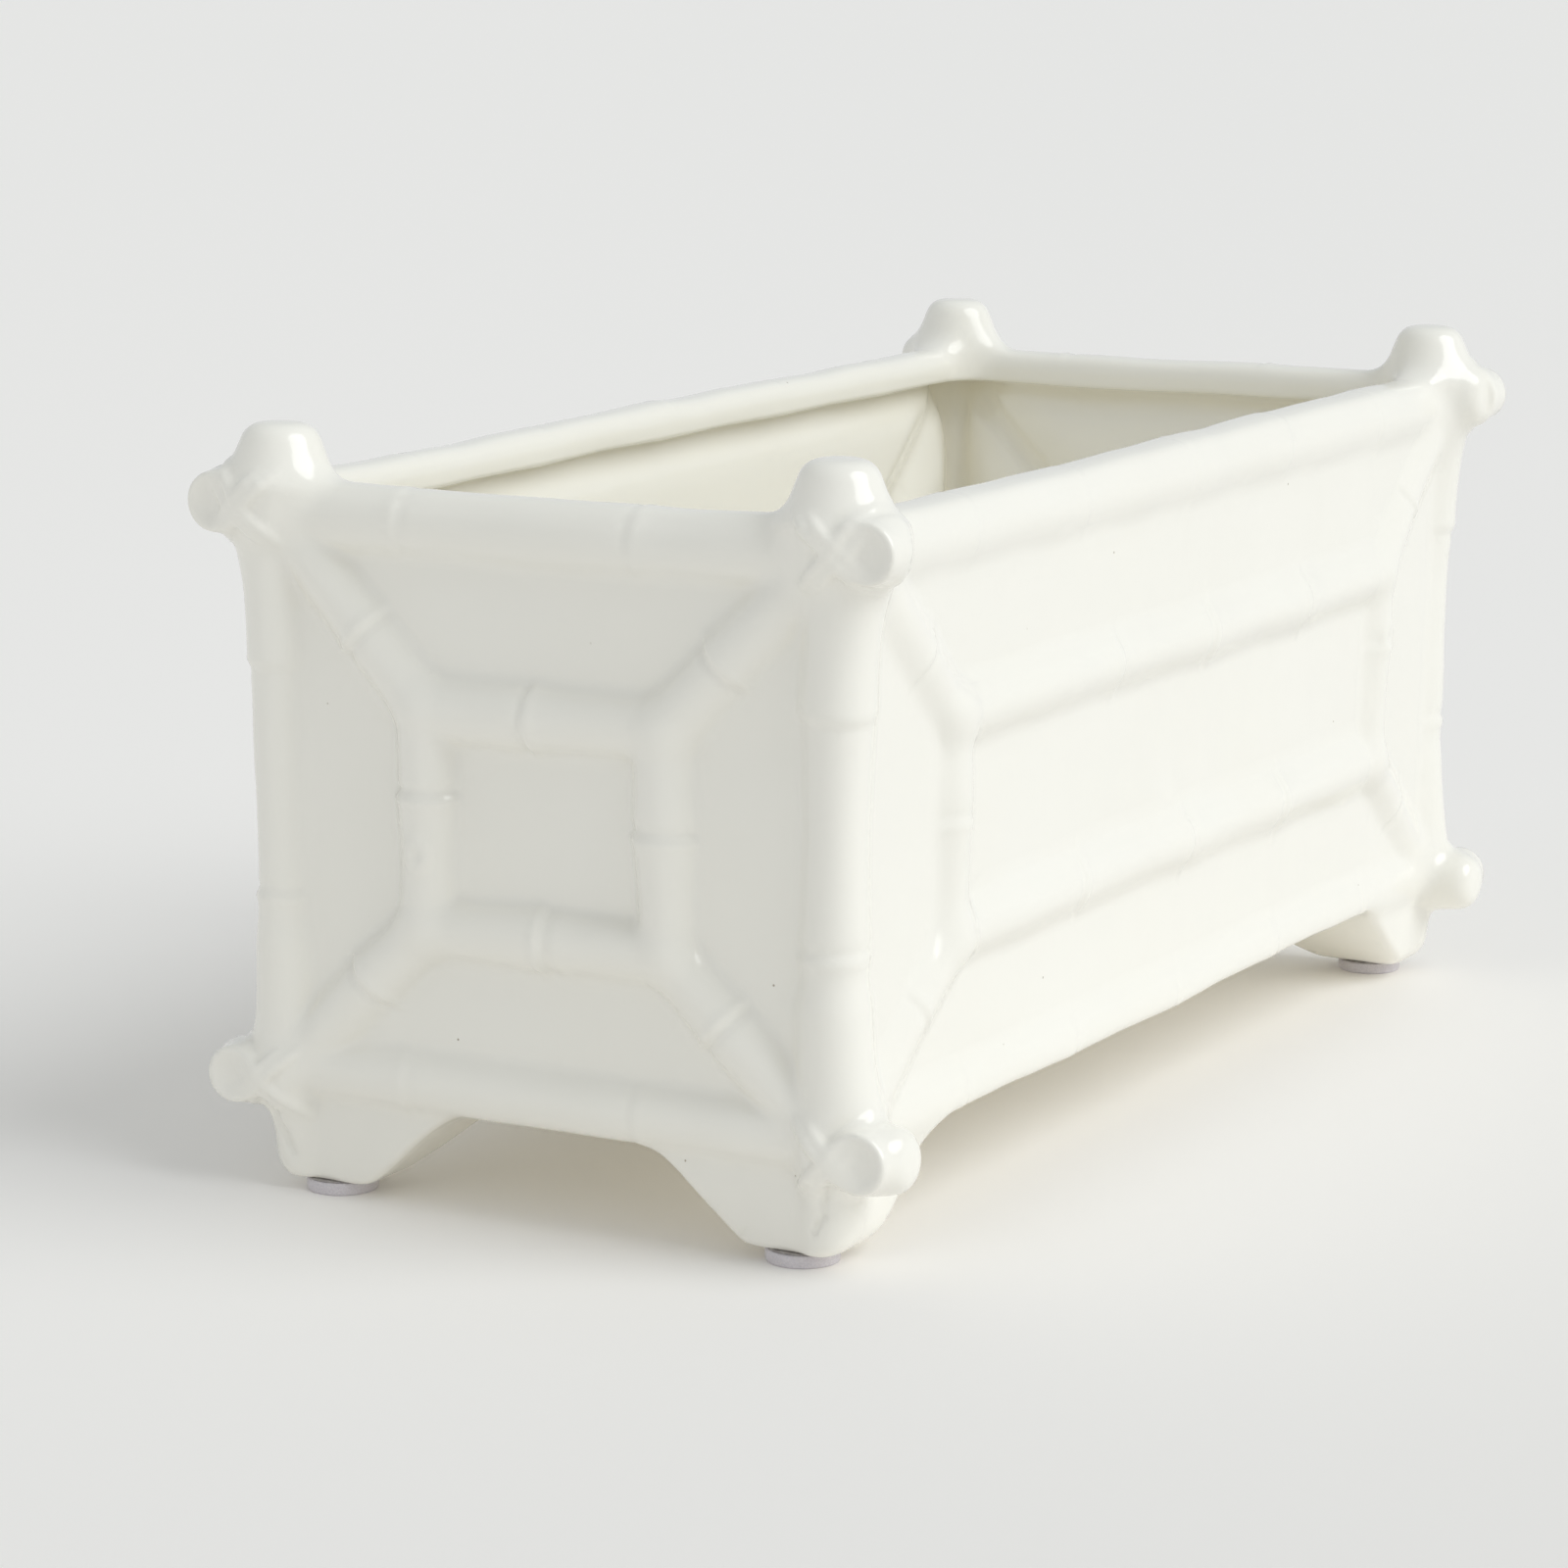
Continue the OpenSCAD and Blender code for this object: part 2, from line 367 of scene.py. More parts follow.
def knob(clay, sx, sy):
    """Tapered knob on a post, with a slightly domed top. It narrows again below the rim."""
    cx, cy, _ = post_at(sx, sy, RIM_Z)
    side_slope = 0.92  # turns the gap along a radius into distance from the tapered side

    def shape(x, y, z):
        rho = np.sqrt((x - cx) ** 2 + (y - cy) ** 2)
        above = KNOB_TOP_R + KNOB_TAPER * (HEIGHT - z)
        below = KNOB_BASE_R - KNOB_TUCK * (RIM_Z - z)
        radius = np.where(z > RIM_Z, above, below)
        dome = z - HEIGHT + KNOB_DOME * rho * rho
        capped = soft_max((rho - radius) * side_slope, dome, 2.6)
        return soft_max(capped, RIM_Z - KNOB_DEPTH - z, 2.0)

    low, high = (cx - 11, cy - 11, RIM_Z - KNOB_DEPTH), (cx + 11, cy + 11, HEIGHT)
    clay.add(shape, low, high, soft=5.0)


def stub(clay, sx, sy, z0):
    """Tapered cane end that stands out of a long face, and narrows from taper_from on."""
    cx, cy, _ = post_at(sx, sy, z0)
    cx += sx * STUB_SHIFT
    reach = STUB_TOP_REACH if z0 > HEIGHT / 2 else STUB_LOW_REACH
    taper_from = 4.0

    def shape(x, y, z):
        t = (y - cy) * sy
        taper = np.clip((t - taper_from) / (reach - taper_from), 0, 1)
        radius = STUB_BASE_R + (STUB_END_R - STUB_BASE_R) * taper
        side = np.sqrt((x - cx) ** 2 + (z - z0) ** 2) - radius
        return soft_max(soft_max(side, t - reach, 4.5), -2 - t, 2.0)

    low, high = (cx - 9, cy - 3, z0 - 9), (cx + 9, cy + sy * STUB_REACH, z0 + 9)
    clay.add(shape, low, high, soft=2.2)


def flare(clay, sx, sy, z0, way):
    """Widening of a post where it runs into the stub above or below it. It starts inside the post,
    at some length from the joint."""
    length, end_gap, end_out = 26, 4, 3.0
    hidden, widening = 0.8, 2.2
    start = post_at(sx, sy, z0 + way * length, POST_SHIFT)
    end = post_at(sx, sy, z0 + way * end_gap) + np.array([0, sy * end_out, 0])
    place, span = segment(start, end)

    def shape(x, y, z):
        t, side = place(x, y, z)
        f = np.clip(t / span, 0, 1)
        return side - (POST_R - hidden + widening * f * f)

    clay.add(shape, np.minimum(start, end) - 9, np.maximum(start, end) + 9, soft=5.0)


def peg(clay, sx, sy, z0):
    """Cane end that faces out of a short face, with a dished end inside a narrow rim."""
    rim = 0.8
    px, py, _ = post_at(sx, sy, z0)
    cy, cz = py + sy * PEG_OUT, z0 + PEG_RISE

    def shape(x, y, z):
        t = (x - px) * sx
        rho = np.sqrt((y - cy) ** 2 + (z - cz) ** 2)
        dish = PEG_DISH * np.clip(1 - (rho / (PEG_R - rim)) ** 3, 0, 1)
        return soft_max(soft_max(rho - PEG_R, t - PEG_REACH + dish, 1.3), 1 - t, 1.0)

    low, high = (px, cy - PEG_R, cz - PEG_R), (px + sx * PEG_REACH, cy + PEG_R, cz + PEG_R)
    clay.add(shape, low, high, soft=1.8)


def strand(clay, points, r):
    """Round cord of radius r through the points."""
    for p, q in zip(points[:-1], points[1:]):
        place, _ = segment(p, q)
        low, high = np.minimum(p, q) - r, np.maximum(p, q) + r
        clay.add(lambda x, y, z: place(x, y, z)[1] - r, low, high, soft=0.8)


def lashing(clay, sx, sy, z0):
    """Two doubled strands. One comes over the stub and one from under it, they cross on the short
    face, and each runs on aslant over the post. Both ends of a strand sink into the clay, and the
    peg goes over them later. All paths are laid on the clay before the first strand is added."""
    px, py, _ = post_at(sx, sy, z0)
    axis_x = px + sx * STUB_SHIFT
    cross = py + sy * CROSS_OUT
    outward, steepness = 6.0, 0.9
    round_sink, flat_sink = 1.1, 0.025
    paths = []
    for way in (-1, 1):
        for gap in (-STRAND_GAP, STRAND_GAP):
            path = []
            for turn in np.radians(np.arange(90, -1, -10)):
                out = np.array([sx * math.cos(turn), 0, way * math.sin(turn)])
                hub = np.array([axis_x, cross + gap + sy * outward * math.sin(turn), z0])
                lift = STRAND_LIFT - round_sink * turn**2
                path.append(clay.first_hit(hub + 15 * out, hub + 3 * out) + lift * out)
            for reach in np.linspace(1.5, 7.5, 6):
                y, z = cross + gap - sy * reach, z0 - way * reach * steepness
                far, near = np.array([px + sx * 16, y, z]), np.array([px - sx * 2, y, z])
                sink = flat_sink * reach**2 - STRAND_LIFT
                path.append(clay.first_hit(far, near) - np.array([sx * sink, 0, 0]))
            paths.append(path)
    for path in paths:
        strand(clay, path, STRAND_R)


def toe(clay, sx, sy):
    """Lower end of a post in its foot, a little thinner toward the ground."""
    bottom, top = post_at(sx, sy, FOOT_Z + 1), post_at(sx, sy, FOOT_Z + 17, POST_SHIFT)
    thinner = 1.2
    place, span = segment(bottom, top)

    def shape(x, y, z):
        t, side = place(x, y, z)
        return side - (POST_R - thinner + thinner * np.clip(t / span, 0, 1))

    middle = post_at(sx, sy, FOOT_Z + 8)
    clay.add(shape, middle - 16, middle + 16, soft=3.0)


def crease(clay, sx, sy, rng):
    """Seam flaw of the mould: a fine groove slanting down the outer corner of a foot."""
    top, drop = FOOT_Z + 14.5, 9.5
    start_out, aslant, groove_r = 3.2, 3.6, 0.7
    points = []
    for down in np.linspace(0, 1, 6):
        p = post_at(sx, sy, top - drop * down)
        p[1] += sy * (start_out - aslant * down) + rng.uniform(-0.5, 0.5)
        points.append(clay.first_hit(p + np.array([sx * 14, 0, 0]), p))
    for p, q in zip(points[:-1], points[1:]):
        place, _ = segment(p, q)
        low, high = np.minimum(p, q) - 1, np.maximum(p, q) + 1
        clay.carve(lambda x, y, z: place(x, y, z)[1] - groove_r, low, high, soft=0.5)


def branch_scar(clay, face, side, u, z):
    """Small raised eye with a hollow middle, where a side shoot left the cane."""
    sunk = 0.6
    eye = on_face(face, side, u, z, POLE_OUT + POLE_R - sunk)
    out_axis = 0 if face == "short" else 1
    across = 1 - out_axis
    eye_r, thickness, height_share = 1.9, 0.85, 0.72

    def ring(x, y, z):
        c = (x, y)
        rho = np.sqrt((c[across] - eye[across]) ** 2 + ((z - eye[2]) * height_share) ** 2)
        return np.sqrt((rho - eye_r) ** 2 + (c[out_axis] - eye[out_axis]) ** 2) - thickness

    clay.add(ring, eye - 4, eye + 4, soft=1.2)


def cut_feet(clay):
    """Arches between the feet, the faces of the feet, and their flat undersides."""
    low, high = (-POST_X - 30, -POST_Y - 30, -5), (POST_X + 30, POST_Y + 30, ARCH_LONG_Z + 8)
    cut, x, y, z = clay.window(low, high)
    tuck = np.clip((TUCK_Z - z) / (TUCK_Z - FOOT_Z), 0, 1) ** 2
    clear = 4 * np.clip(z - TUCK_Z, 0, 9)  # keeps the faces of the feet off the joints above
    out_x, out_y = FOOT_OUT_X - TUCK_X * tuck + clear, FOOT_OUT_Y - TUCK_Y * tuck + clear
    d = soft_max(clay.d[cut], leaning_block(x, y, z, out_x, out_y, PANEL_CORNER_R), 2.0)
    d = soft_max(d, above_arch(x, z, ARCH_LONG_Z, ARCH_LONG_FLAT, ARCH_LONG_FOOT), 2.5)
    d = soft_max(d, above_arch(y, z, ARCH_SHORT_Z, ARCH_SHORT_FLAT, ARCH_SHORT_FOOT), 1.6)
    clay.d[cut] = soft_max(d, FOOT_Z - z, 1.2)


def hollow_out(clay, canes):
    """The inside, where the walls follow the relief outside, as in a drained casting."""
    cane_in, cane_thinner = 4.0, 3.0
    post_in, post_thinner = 1.4, 3.2
    _, x, y, z = clay.everywhere()
    hollow = clay.like(leaning_block(x, y, z, -INSET, -INSET, ROOM_CORNER_R))
    for face, side, a, b, r, (out_a, out_b), _ in canes:
        start = on_face(face, side, *a, out_a - cane_in)
        end = on_face(face, side, *b, out_b - cane_in)
        cane(hollow, start, end, r - cane_thinner, soft=9.0)
    for sx, sy in CORNERS:
        inward = np.array([-post_in * sx, -post_in * sy, 0])
        foot, head = post_at(sx, sy, FLOOR_Z) + inward, post_at(sx, sy, RIM_Z) + inward
        cane(hollow, foot, head, POST_R - post_thinner, soft=8.0)
    room = soft_max(hollow.d, clay.d + THINNEST, 3.0)
    room = soft_max(soft_max(room, FLOOR_Z - z, 9.0), z - (RIM_Z - LIP_H), 2.0)
    mouth_block = leaning_block(x, y, z, -INSET - LIP, -INSET - LIP, MOUTH_R)
    mouth_low = FLOOR_Z + 20
    mouth = np.maximum(mouth_block, mouth_low - z)
    clay.d = soft_max(clay.d, -soft_min(room, mouth, 1.0), 3.2)


def sculpt():
    """The whole casting as a distance field."""
    rng = np.random.default_rng(SEED)
    room_x, room_y, room_z = 14, 20, 3
    low = (-POST_X - room_x, -POST_Y - room_y, FOOT_Z - room_z)
    high = (POST_X + room_x, POST_Y + room_y, HEIGHT + room_z)
    clay = Clay(low, high, VOXEL)
    cut, x, y, z = clay.everywhere()
    panels = leaning_block(x, y, z, PANEL_OUT_SHORT, PANEL_OUT_LONG, PANEL_CORNER_R)
    clay.d[cut] = soft_max(panels, z - RIM_Z, 2.5)

    canes = face_canes()
    for face, side, a, b, r, out, rings in canes:
        start, end = on_face(face, side, *a, out[0]), on_face(face, side, *b, out[1])
        crisp = (RAIL_CRISP if r == RAIL_R else 1.0) * (1.0 if face == "short" else LONG_CRISP)
        cane(clay, start, end, r, rings, fillet, unevenness(rng), crisp)
    for side in (-1, 1):
        branch_scar(clay, "short", side, -side * LATTICE_SHORT, SCAR_SHORT_Z)
    for side in (-1, 1):
        branch_scar(clay, "long", side, -side * LATTICE_LONG, SCAR_LONG_Z)

    for sx, sy in CORNERS:
        foot, head = (post_at(sx, sy, z, POST_SHIFT) for z in (FOOT_Z + 16, RIM_Z - 8))
        cane(clay, foot, head, POST_R, POST_RINGS, fillet, unevenness(rng), POST_CRISP)
        toe(clay, sx, sy)
        for z0 in JOINTS_Z:
            flare(clay, sx, sy, z0, -1 if z0 > HEIGHT / 2 else 1)
            stub(clay, sx, sy, z0)
        knob(clay, sx, sy)
        for z0 in JOINTS_Z:
            lashing(clay, sx, sy, z0)
            peg(clay, sx, sy, z0)

    cut_feet(clay)
    for sx, sy in CORNERS:
        crease(clay, sx, sy, rng)
    hollow_out(clay, canes)
    clay.ripple(rng, wavelength=34, size=0.11)
    clay.ripple(rng, wavelength=13, size=0.045)
    return clay


# ---------------------------------------------------------------- mesh of the casting
def waves(p, seed, wavelength, count=7):
    """Smooth vector field from a few sine waves, about 1 in size."""
    rng = np.random.default_rng(seed)
    total = np.zeros_like(p)
    for _ in range(count):
        k = wave_vector(rng, wavelength)
        push = rng.normal(size=3)
        total += np.sin(p @ k + rng.uniform(0, 2 * math.pi))[:, None] * push
    return total / math.sqrt(count)


def handmade(p):
    """Slow waves of a hand-finished casting; the undersides of the feet stay flat."""
    size, wavelength = 0.36, 75
    hold = np.clip((p[:, 2] - FOOT_Z - 0.5) / 8, 0, 1)[:, None]
    return p + hold * size * waves(p, SEED, wavelength)


def skin_of(clay):
    """Mesh of the zero surface of the clay, thinned to the face limit."""
    grid = openvdb.FloatGrid()
    band = 3 * clay.step
    grid.copyFromArray(np.clip(clay.d, -band, band).astype(np.float32))
    points, triangles, quads = grid.convertToPolygons(isovalue=0.0, adaptivity=0.02)
    mesh = bpy.data.meshes.new("planter_casting")
    mesh.from_pydata(points * clay.step + clay.low, [], quads.tolist() + triangles.tolist())
    mesh.update()
    body = bpy.data.objects.new("planter_casting", mesh)
    bpy.context.scene.collection.objects.link(body)
    count = len(quads) * 2 + len(triangles)
    if count > FACE_LIMIT:
        thin = body.modifiers.new("thin", "DECIMATE")
        thin.ratio = FACE_LIMIT / count
        bpy.context.view_layer.objects.active = body
        bpy.ops.object.modifier_apply(modifier="thin")
    return body


def closeness(clay, p, normals):
    """How closed in each point is, from -1 on a sharp edge to 1 deep in a hollow. The glaze colour
    darkens with it, partly as pooled glaze and partly as painted shade.
    """
    reaches = (3.0, 5.0, 7.0)
    shares = (np.clip(1 - clay.sample(p + reach * normals) / reach, -1, 1) for reach in reaches)
    return sum(shares) / len(reaches)


def turned(normals, p):
    """The normals at points p after handmade() has moved them, to first order."""
    h = 0.2
    tilt = []
    for e in np.eye(3):
        stretch = (handmade(p + h * e) - handmade(p - h * e)) / (2 * h)
        tilt.append(np.sum(stretch * normals, 1))
    normals = 2 * normals - np.stack(tilt, 1)
    return normals / np.linalg.norm(normals, axis=1, keepdims=True)


def build_body():
    """The casting as a mesh, drawn back onto the surface of the clay after the thinning."""
    clay = sculpt()
    body = skin_of(clay)
    mesh = body.data
    flat = np.empty(len(mesh.vertices) * 3)
    mesh.vertices.foreach_get("co", flat)
    p = flat.reshape(-1, 3)
    for _ in range(3):
        p = p - clay.slope(p, h=0.45) * clay.sample(p)[:, None]
    normals = clay.slope(p, h=1.1)
    # How closed in each point is; the glaze paints its pooled colour and its crevice shade from this.
    crevice_pool_and_shade = closeness(clay, p, normals)
    normals = turned(normals, p)
    mesh.vertices.foreach_set("co", (handmade(p) * MM).ravel())
    mesh.polygons.foreach_set("use_smooth", [True] * len(mesh.polygons))
    some = mesh.polygons[:2000]
    outward = sum(face.normal.dot(Vector(normals[face.vertices[0]])) for face in some)
    if outward < 0:
        mesh.flip_normals()
    mesh.update()
    mesh.normals_split_custom_set_from_vertices(normals.tolist())
    mesh.attributes.new("crevice_pool_and_shade", "FLOAT", "POINT").data.foreach_set("value", crevice_pool_and_shade)
    return body


# ---------------------------------------------------------------- felt pads
def rounded_profile(radius, low, high, rounding, rings):
    """Half outline of a round pad as (r, z), from the middle of its underside to that of its top."""
    profile = [(radius * i / rings, low) for i in range(rings)]
    for step in range(5):
        a = step * math.pi / 8
        profile.append((radius - rounding * (1 - math.sin(a)), low + rounding * (1 - math.cos(a))))
    upright = high - low - 2 * rounding
    for step in range(4):
        bulge = 0.08 * math.sin(math.pi * step / 3)
        profile.append((radius + bulge, low + rounding + upright * (step + 0.5) / 4))
    for step in range(5):
        a = step * math.pi / 8
        profile.append((radius - rounding * (1 - math.cos(a)), high - rounding * (1 - math.sin(a))))
    profile += [(radius * i / rings, high) for i in range(rings - 1, -1, -1)]
    return profile


def disc(name, centre, radius, low, high, seed, rough, rounding, rings=10, around=96):
    """Round pad with a soft edge: flat faces joined by a rounded rim, uneven by about rough."""
    rng = np.random.default_rng(seed)
    profile = rounded_profile(radius, low, high, rounding, rings)
    wave = [(n, rng.uniform(0, 6.3), rng.uniform(0.3, 1.0) / n) for n in range(2, 9)]
    points, faces = [], []
    for i, (r, z) in enumerate(profile):
        for j in range(around):
            a = 2 * math.pi * j / around
            edge = r / radius
            wobble = rough * sum(s * math.sin(n * a + ph) for n, ph, s in wave) * edge**3
            wobble += rough * 0.35 * rng.uniform(-1, 1) * edge**6
            height = z + rough * 0.2 * rng.uniform(-1, 1) * (0 < i < len(profile) - 1)
            points.append((
                centre[0] + (r + wobble) * math.cos(a),
                centre[1] + (r + wobble) * math.sin(a),
                min(max(height, low), high),
            ))
    for i in range(len(profile) - 1):
        for j in range(around):
            k = (j + 1) % around
            faces.append((i * around + j, (i + 1) * around + j, (i + 1) * around + k, i * around + k))
    mesh = bpy.data.meshes.new(name)
    mesh.from_pydata((np.array(points) * MM).tolist(), [], faces)
    mesh.validate()
    mesh.update()
    piece = bpy.data.objects.new(name, mesh)
    bpy.context.scene.collection.objects.link(piece)
    weld = piece.modifiers.new("weld", "WELD")
    weld.merge_threshold = 0.01 * MM
    bpy.context.view_layer.objects.active = piece
    bpy.ops.object.modifier_apply(modifier="weld")
    mesh.polygons.foreach_set("use_smooth", [True] * len(mesh.polygons))
    return piece


def build_pads(felt_material, film_material):
    """The felt pads and their adhesive discs, each in the box of its CAD node."""
    names = sorted(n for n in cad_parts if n.startswith(("felt_pad", "adhesive_disc")))
    for i, name in enumerate(names):
        low, high = (np.array(c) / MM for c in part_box(name))
        centre, radius = (low + high) / 2, (high[0] - low[0]) / 2
        is_felt = name.startswith("felt_pad")
        short_name = name.replace("felt_pad", "felt").replace("adhesive_disc", "film")
        rough, rounding = (0.10, 0.35) if is_felt else (0.16, 0.08)
        piece = disc(short_name, centre, radius, low[2], high[2], SEED + i, rough, rounding)
        piece.data.materials.append(felt_material if is_felt else film_material)
        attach(piece, "root")
        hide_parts(name)


# ---------------------------------------------------------------- materials
class Shader:
    """A node material with short ways to add and wire nodes."""

    def __init__(self, name):
        self.material = bpy.data.materials.new(name)
        self.material.use_nodes = True
        self.nodes, self.links = self.material.node_tree.nodes, self.material.node_tree.links
        self.bsdf = self.nodes["Principled BSDF"]
        self.where = self.node("ShaderNodeTexCoord").outputs["Object"]

    def node(self, kind, **settings):
        node = self.nodes.new(kind)
        for key, value in settings.items():
            if isinstance(value, bpy.types.NodeSocket):
                self.links.new(value, node.inputs[key.replace("_", " ")])
            elif key.replace("_", " ") in node.inputs:
                node.inputs[key.replace("_", " ")].default_value = value
            else:
                setattr(node, key, value)
        return node

    def noise(self, cell, detail=3.0, roughness=0.5):
        """Noise with features about cell mm across."""
        node = self.node(
            "ShaderNodeTexNoise", Vector=self.where, Scale=1000 / cell, Detail=detail, Roughness=roughness
        )
        return node.outputs["Fac"]

    def map(self, value, low, high, to_low, to_high):
        node = self.node("ShaderNodeMapRange")
        self.links.new(value, node.inputs["Value"])
        for key, v in (("From Min", low), ("From Max", high), ("To Min", to_low), ("To Max", to_high)):
            node.inputs[key].default_value = v
        return node.outputs["Result"]

    def mix(self, factor, a, b):
        node = self.node("ShaderNodeMix", data_type="RGBA")
        for socket, value in ((node.inputs[0], factor), (node.inputs[6], a), (node.inputs[7], b)):
            if isinstance(value, bpy.types.NodeSocket):
                self.links.new(value, socket)
            else:
                socket.default_value = value
        return node.outputs[2]

    def math(self, operation, a, b):
        node = self.node("ShaderNodeMath", operation=operation)
        for socket, value in zip(node.inputs, (a, b)):
            if isinstance(value, bpy.types.NodeSocket):
                self.links.new(value, socket)
            else:
                socket.default_value = value
        return node.outputs[0]

    def bump(self, height, distance_mm, strength=1.0, under=None):
        node = self.node("ShaderNodeBump", Strength=strength, Distance=distance_mm * MM)
        self.links.new(height, node.inputs["Height"])
        if under is not None:
            self.links.new(under, node.inputs["Normal"])
        return node.outputs["Normal"]

    def set(self, key, value):
        if isinstance(value, bpy.types.NodeSocket):
            self.links.new(value, self.bsdf.inputs[key])
        else:
            self.bsdf.inputs[key].default_value = value


def glaze():
    """Thick cream-white gloss glaze: darker, warmer colour in the crevices, partly pooled glaze and
    partly painted shade; pinholes, wavy gloss.
    A pinhole stands in the middle of one voronoi cell in five."""
    s = Shader("cream_glaze")
    cream, pale = (0.93, 0.912, 0.838, 1), (0.94, 0.925, 0.862, 1)
    pooled_and_shaded, pinhole = (0.90, 0.868, 0.765, 1), (0.33, 0.26, 0.18, 1)
    pinhole_cell = 9.0
    crevice_pool_and_shade = s.node("ShaderNodeAttribute", attribute_name="crevice_pool_and_shade").outputs["Fac"]
    colour = s.mix(s.noise(38.0, 2.0), cream, pale)
    # Darker, warmer colour in closed-in hollows: partly pooled glaze, partly painted shade.
    colour = s.mix(s.map(crevice_pool_and_shade, 0.15, 0.8, 0.0, 0.7), colour, pooled_and_shaded)
    cells = s.node("ShaderNodeTexVoronoi", Vector=s.where, Scale=1000 / pinhole_cell, Randomness=1.0)
    pick = s.node("ShaderNodeSeparateColor", Color=cells.outputs["Color"]).outputs["Red"]
    near_middle = s.map(cells.outputs["Distance"], 0.016, 0.032, 1, 0)
    hole = s.math("MULTIPLY", near_middle, s.map(pick, 0.80, 0.81, 0, 1))
    colour = s.mix(s.math("MULTIPLY", hole, 0.8), colour, pinhole)
    s.set("Base Color", colour)
    s.set("Roughness", s.map(s.noise(14.0), 0.3, 0.7, 0.13, 0.2))
    s.set("IOR", 1.52)
    s.set("Coat Weight", 0.15)
    s.set("Coat Roughness", 0.08)
    waviness = s.bump(s.noise(7.0, 2.0), 0.05, 0.6)
    pits = s.bump(s.math("SUBTRACT", 1.0, hole), 0.12, 0.6, waviness)
    s.set("Normal", s.bump(s.noise(1.6, 1.0), 0.006, 0.6, pits))
    return s.material


def felt():
    """Pressed wool felt: matted fibres, soft sheen."""
    s = Shader("lilac_grey_felt")
    deep, tips, dusty = (0.60, 0.565, 0.60, 1), (0.76, 0.725, 0.75, 1), (0.68, 0.65, 0.65, 1)
    fibre = s.noise(0.35, 5.0, 0.75)
    colour = s.mix(s.map(fibre, 0.35, 0.65, 0, 1), deep, tips)
    s.set("Base Color", s.mix(s.map(s.noise(2.5), 0.45, 0.7, 0, 0.35), colour, dusty))
    s.set("Roughness", 0.95)
    s.set("Sheen Weight", 0.5)
    s.set("Sheen Roughness", 0.4)
    s.set("Normal", s.bump(fibre, 0.12, 0.8))
    return s.material


def film():
    """Thin adhesive layer, mottled with dust."""
    s = Shader("adhesive_film")
    dark, dusty = (0.34, 0.31, 0.30, 1), (0.52, 0.49, 0.47, 1)
    s.set("Base Color", s.mix(s.map(s.noise(1.2), 0.4, 0.65, 0, 1), dark, dusty))
    s.set("Roughness", s.map(s.noise(0.8), 0.3, 0.7, 0.35, 0.6))
    s.set("Normal", s.bump(s.noise(0.6), 0.03, 0.5))
    return s.material


def floor_white():
    """White paper with painted shade: a little darker in front of the planter than behind it."""
    s = Shader("paper_floor")
    # Painted shade: the front colour darkens the paper in front of the planter; behind is the paper's own
    # white.
    front, behind = (0.90, 0.88, 0.855, 1), (0.985, 0.965, 0.94, 1)
    along = s.node("ShaderNodeVectorMath", operation="DOT_PRODUCT")
    s.links.new(s.where, along.inputs[0])
    along.inputs[1].default_value = (0.48, 1.17, 0.0)
    s.set("Base Color", s.mix(s.map(along.outputs["Value"], -0.45, 0.15, 0, 1), front, behind))
    s.set("Roughness", 0.7)
    s.set("Normal", s.bump(s.noise(1.5, 2.0), 0.02, 0.15))
    return s.material


# ---------------------------------------------------------------- pieces
body = build_body()
body.data.materials.append(glaze())
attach(body, "root")
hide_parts("planter_body")
build_pads(felt(), film())


# ---------------------------------------------------------------- studio
def floor():
    """Pale paper floor."""
    size = 30.0
    corners = [(-size, -size, 0), (size, -size, 0), (size, size, 0), (-size, size, 0)]
    mesh = bpy.data.meshes.new("floor")
    mesh.from_pydata(corners, [], [(0, 1, 2, 3)])
    piece = bpy.data.objects.new("floor", mesh)
    bpy.context.scene.collection.objects.link(piece)
    piece.data.materials.append(floor_white())


def toward(azimuth, elevation):
    """Unit vector from the planter, azimuth from the front toward +X; both angles in radians."""
    return Vector((
        math.sin(azimuth) * math.cos(elevation),
        -math.cos(azimuth) * math.cos(elevation),
        math.sin(elevation),
    ))


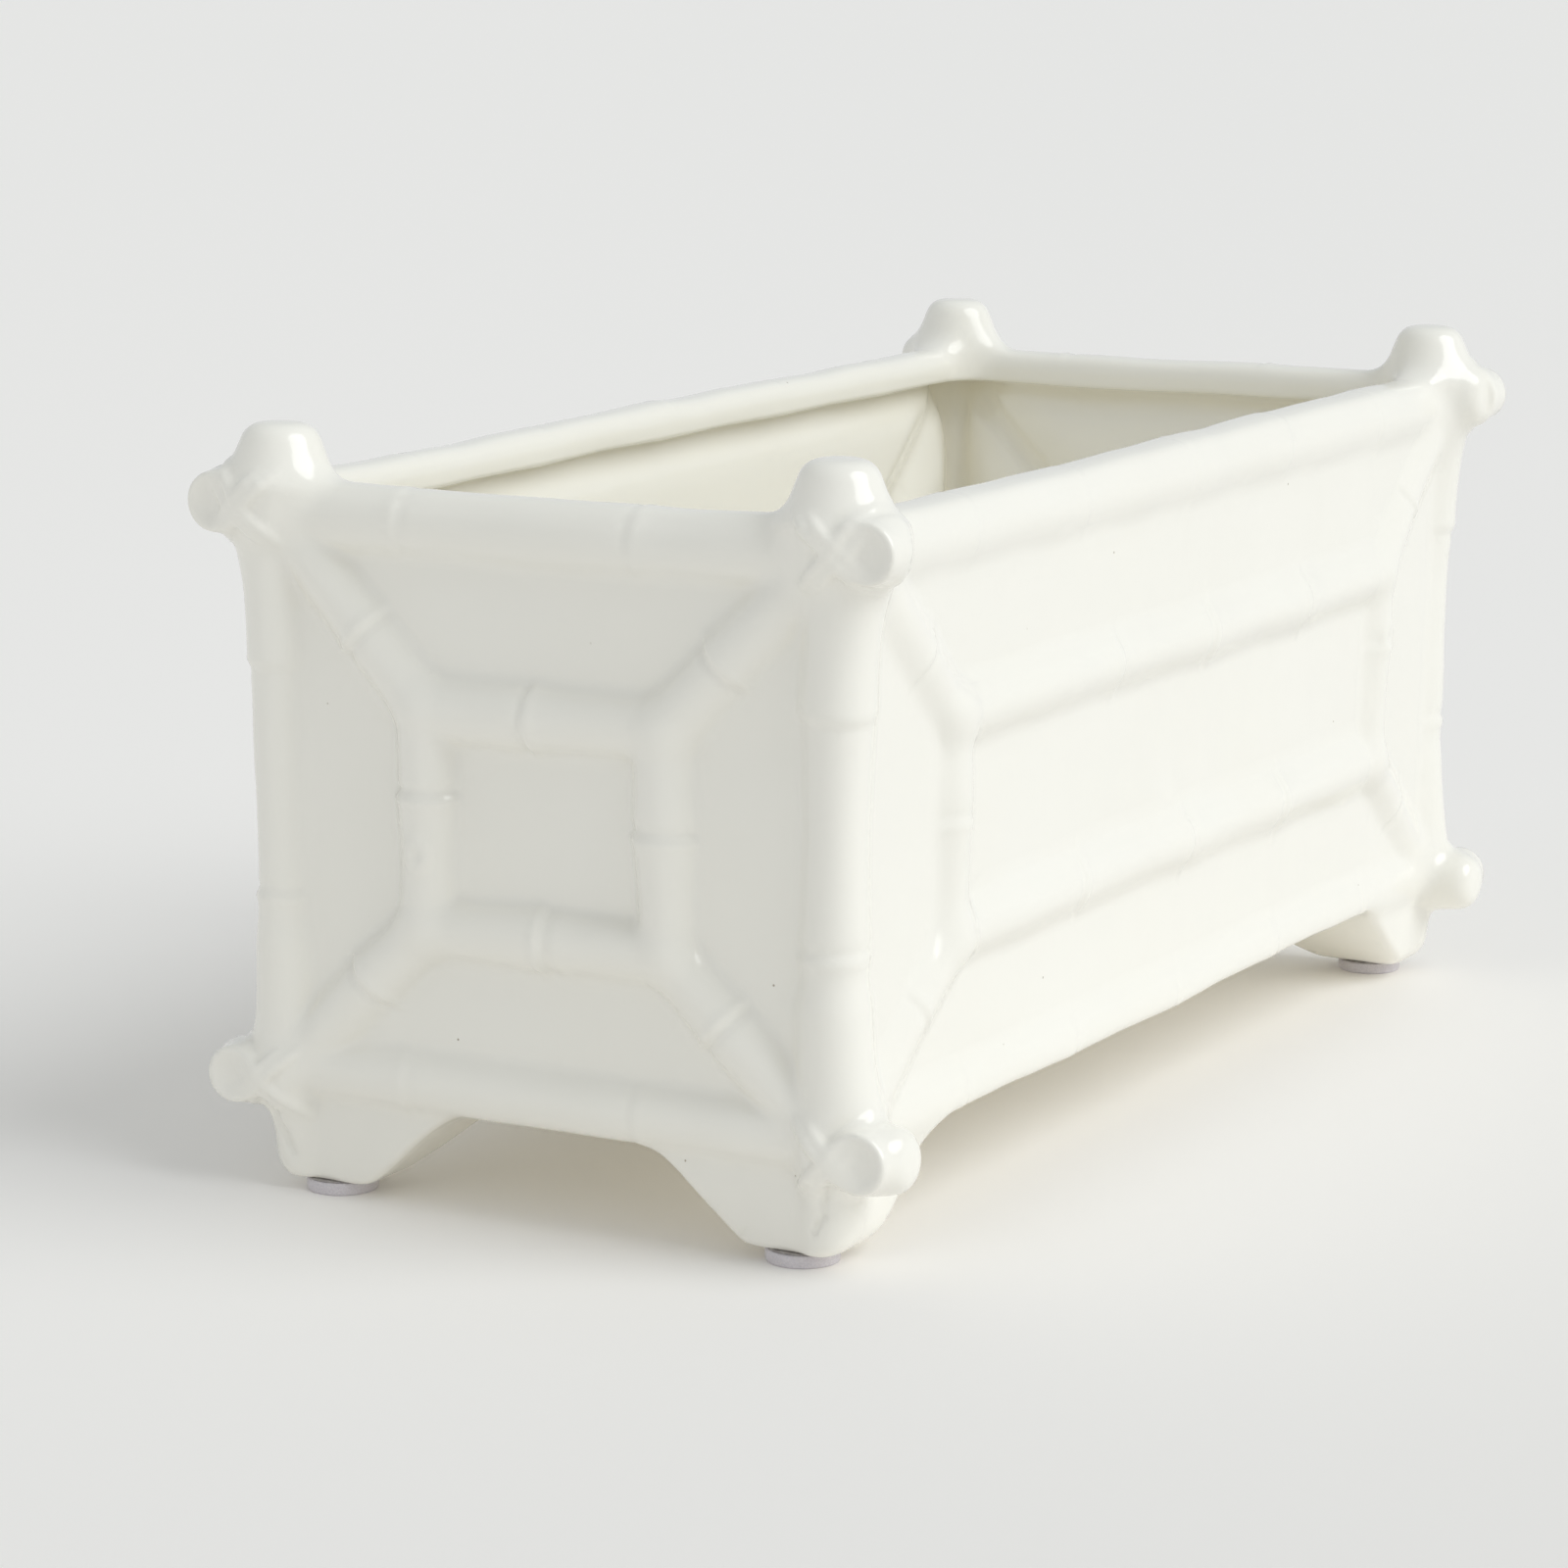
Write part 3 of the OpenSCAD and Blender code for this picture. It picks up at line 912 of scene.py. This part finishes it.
def soft_sun(name, azimuth, elevation, spread, strength, colour):
    """Even light from far off, as from a big soft box; angles in degrees."""
    data = bpy.data.lights.new(name, "SUN")
    data.angle = math.radians(spread)
    data.energy = strength
    data.color = colour
    light = bpy.data.objects.new(name, data)
    way = toward(math.radians(azimuth), math.radians(elevation))
    light.rotation_euler = way.to_track_quat("Z", "Y").to_euler()
    bpy.context.scene.collection.objects.link(light)


def camera():
    """The photo's camera: beyond the front left corner, a little above the rim."""
    azimuth, elevation, roll = (math.radians(a) for a in (-61.316, 10.874, 0.193))
    distance, target = 1.0744, Vector((0.0, 0.0289, 0.0591))
    back = toward(azimuth, elevation)
    data = bpy.data.cameras.new("camera")
    data.sensor_width = 36.0
    data.lens = 114.77
    data.clip_end = 50
    piece = bpy.data.objects.new("camera", data)
    piece.location = target + back * distance
    piece.rotation_mode = "QUATERNION"
    piece.rotation_quaternion = back.to_track_quat("Z", "Y") @ Quaternion((0, 0, 1), roll)
    bpy.context.scene.collection.objects.link(piece)
    bpy.context.scene.camera = piece


def studio():
    """Even pale surroundings, brightest at the horizon, with one very soft key light."""
    horizon, zenith, brightness = (1.15, 1.17, 1.18, 1), (0.82, 0.845, 0.855, 1), 0.615
    scene = bpy.context.scene
    scene.view_settings.view_transform = "Standard"
    world = bpy.data.worlds.new("studio")
    world.use_nodes = True
    nodes, links = world.node_tree.nodes, world.node_tree.links
    background = nodes["Background"]
    background.inputs["Strength"].default_value = brightness
    height = nodes.new("ShaderNodeSeparateXYZ")
    links.new(nodes.new("ShaderNodeTexCoord").outputs["Generated"], height.inputs[0])
    ramp = nodes.new("ShaderNodeValToRGB")
    ramp.color_ramp.elements[0].color = horizon
    ramp.color_ramp.elements[1].color = zenith
    ramp.color_ramp.elements[1].position = 0.6
    links.new(height.outputs["Z"], ramp.inputs["Fac"])
    links.new(ramp.outputs["Color"], background.inputs["Color"])
    scene.world = world
    scene.cycles.max_bounces = 16
    scene.cycles.diffuse_bounces = 12
    floor()
    soft_sun("key", 6.0, 42.0, 44.0, 1.42, (0.975, 0.995, 1.0))


camera()
studio()
